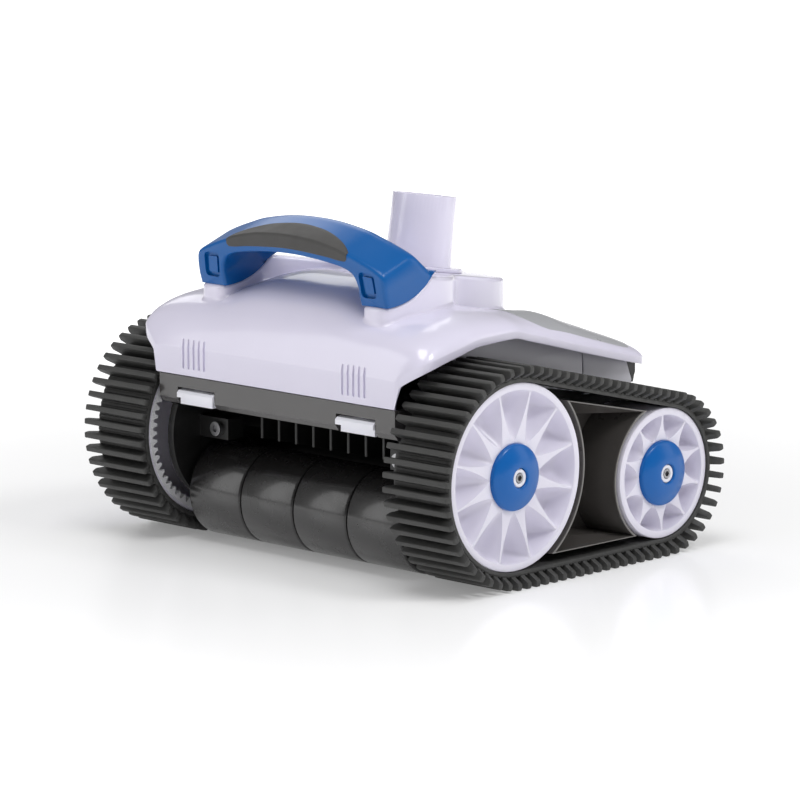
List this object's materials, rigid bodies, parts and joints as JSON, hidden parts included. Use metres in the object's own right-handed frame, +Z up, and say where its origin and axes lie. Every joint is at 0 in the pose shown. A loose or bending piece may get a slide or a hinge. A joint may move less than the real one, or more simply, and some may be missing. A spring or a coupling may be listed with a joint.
{
  "type": "pool cleaner",
  "caption": "Tracked suction pool cleaner with a hinged, latched cover, an arched carrying handle, a swivelling hose spigot and a full-width front roller.",
  "frame": {"origin": "on the floor, at the middle of the two tracks' footprint", "axes": "+Z up, -Y towards the roller at the front, +X towards the right-hand track as seen from behind the hose; the tracks' axles lie along X"},
  "size_m": [0.375, 0.3025, 0.2619],
  "materials": {
    "shell_lilac_white": "gloss",
    "deck_grey": "gloss",
    "panel_grey": "satin",
    "blue_plastic": "gloss",
    "grip_soft": "satin",
    "track_rubber": "matte",
    "chassis_dark": "satin",
    "band_black": "gloss",
    "roller_black": "gloss",
    "wheel_white": "gloss",
    "hub_blue": "gloss",
    "latch_white": "gloss",
    "gear_white": "satin",
    "bearing_plastic": "satin",
    "steel": "brushed",
    "seal_rubber": "matte",
    "foam": "matte"
  },
  "bodies": {
    "chassis": {"chassis_tub": "chassis_dark", "front_bumper": "band_black", "rear_bumper": "chassis_dark", "debris_comb": "chassis_dark", "side_frame_left": "chassis_dark", "side_frame_right": "chassis_dark", "side_panel_left": "panel_grey", "side_panel_right": "panel_grey", "rear_quarter_left": "panel_grey", "rear_quarter_right": "panel_grey", "track_belt_left": "track_rubber", "track_belt_right": "track_rubber", "turbine_housing_lower": "chassis_dark", "turbine_housing_upper": "chassis_dark", "outlet_duct": "chassis_dark", "outlet_seal": "seal_rubber", "gearbox_cover_left": "chassis_dark", "gearbox_cover_right": "chassis_dark", "turbine_bearings": "bearing_plastic", "drive_bearings": "bearing_plastic", "front_stub_axles": "bearing_plastic", "rear_stub_axles": "bearing_plastic", "axle_screws": "steel", "housing_screws": "steel", "hinge_pin": "steel", "roller_bushes": "bearing_plastic", "chassis_screws": "steel"},
    "cover": {"top_cover": "shell_lilac_white", "swivel_boss": "shell_lilac_white", "deck_panel": "deck_grey", "handle_shell": "blue_plastic", "handle_grip": "grip_soft", "handle_screws": "steel", "swivel_collar": "shell_lilac_white", "collar_screws": "steel", "swivel_seal": "seal_rubber", "float_block": "foam", "rear_hooks": "chassis_dark"},
    "hose": {"hose_cone": "shell_lilac_white"},
    "front_wheel_left": {"front_wheel_left": "wheel_white", "ring_gear_left": "gear_white", "front_hub_cap_left": "hub_blue"},
    "front_wheel_right": {"front_wheel_right": "wheel_white", "ring_gear_right": "gear_white", "front_hub_cap_right": "hub_blue"},
    "rear_wheel_left": {"rear_wheel_left": "wheel_white", "rear_hub_cap_left": "hub_blue"},
    "rear_wheel_right": {"rear_wheel_right": "wheel_white", "rear_hub_cap_right": "hub_blue"},
    "drive_left": {"pinion_shaft_left": "gear_white", "reduction_gear_left": "gear_white"},
    "drive_right": {"pinion_shaft_right": "gear_white", "reduction_gear_right": "gear_white"},
    "turbine": {"turbine_rotor": "gear_white", "turbine_shaft": "steel", "turbine_pinions": "gear_white"},
    "roller": {"roller_core": "bearing_plastic", "roller_sleeves": "roller_black", "roller_end_plugs": "bearing_plastic"},
    "latch_left": {"latch_left": "latch_white"},
    "latch_right": {"latch_right": "latch_white"}
  },
  "joints": [
    {"name": "cover_hinge", "type": "hinge", "parent": "chassis", "child": "cover", "pos_m": [0, 0.124, 0.121], "axis": [-1, 0, 0], "range_deg": [0, 75]},
    {"name": "hose_swivel", "type": "hinge", "parent": "cover", "child": "hose", "pos_m": [0, 0.0164, 0.203], "axis": [0, 0.1478, 0.989], "continuous": true},
    {"name": "front_wheel_left_spin", "type": "hinge", "parent": "chassis", "child": "front_wheel_left", "pos_m": [-0.155, -0.0706, 0.0806], "axis": [1, 0, 0], "continuous": true},
    {"name": "front_wheel_right_spin", "type": "hinge", "parent": "chassis", "child": "front_wheel_right", "pos_m": [0.155, -0.0706, 0.0806], "axis": [1, 0, 0], "continuous": true},
    {"name": "rear_wheel_left_spin", "type": "hinge", "parent": "chassis", "child": "rear_wheel_left", "pos_m": [-0.155, 0.09005, 0.0612], "axis": [1, 0, 0], "continuous": true},
    {"name": "rear_wheel_right_spin", "type": "hinge", "parent": "chassis", "child": "rear_wheel_right", "pos_m": [0.155, 0.09005, 0.0612], "axis": [1, 0, 0], "continuous": true},
    {"name": "drive_left_spin", "type": "hinge", "parent": "chassis", "child": "drive_left", "pos_m": [-0.09, -0.02831, 0.09599], "axis": [1, 0, 0], "continuous": true},
    {"name": "drive_right_spin", "type": "hinge", "parent": "chassis", "child": "drive_right", "pos_m": [0.09, -0.02831, 0.09599], "axis": [1, 0, 0], "continuous": true},
    {"name": "turbine_spin", "type": "hinge", "parent": "chassis", "child": "turbine", "pos_m": [0, 0.00189, 0.09175], "axis": [1, 0, 0], "continuous": true},
    {"name": "roller_spin", "type": "hinge", "parent": "chassis", "child": "roller", "pos_m": [0, -0.081, 0.0375], "axis": [1, 0, 0], "continuous": true},
    {"name": "latch_left_turn", "type": "hinge", "parent": "chassis", "child": "latch_left", "pos_m": [-0.0823, -0.128, 0.117], "axis": [-1, 0, 0], "range_deg": [0, 20], "stiffness_Nm_per_rad": 0.05},
    {"name": "latch_right_turn", "type": "hinge", "parent": "chassis", "child": "latch_right", "pos_m": [0.0823, -0.128, 0.117], "axis": [-1, 0, 0], "range_deg": [0, 20], "stiffness_Nm_per_rad": 0.05}
  ],
  "couplings": [
    {"joint": "front_wheel_right_spin", "follows": "front_wheel_left_spin", "ratio": 1},
    {"joint": "rear_wheel_left_spin", "follows": "front_wheel_left_spin", "ratio": 1.3849},
    {"joint": "rear_wheel_right_spin", "follows": "front_wheel_left_spin", "ratio": 1.3849},
    {"joint": "drive_left_spin", "follows": "front_wheel_left_spin", "ratio": 4},
    {"joint": "drive_right_spin", "follows": "front_wheel_left_spin", "ratio": 4},
    {"joint": "turbine_spin", "follows": "front_wheel_left_spin", "ratio": -14.769}
  ]
}
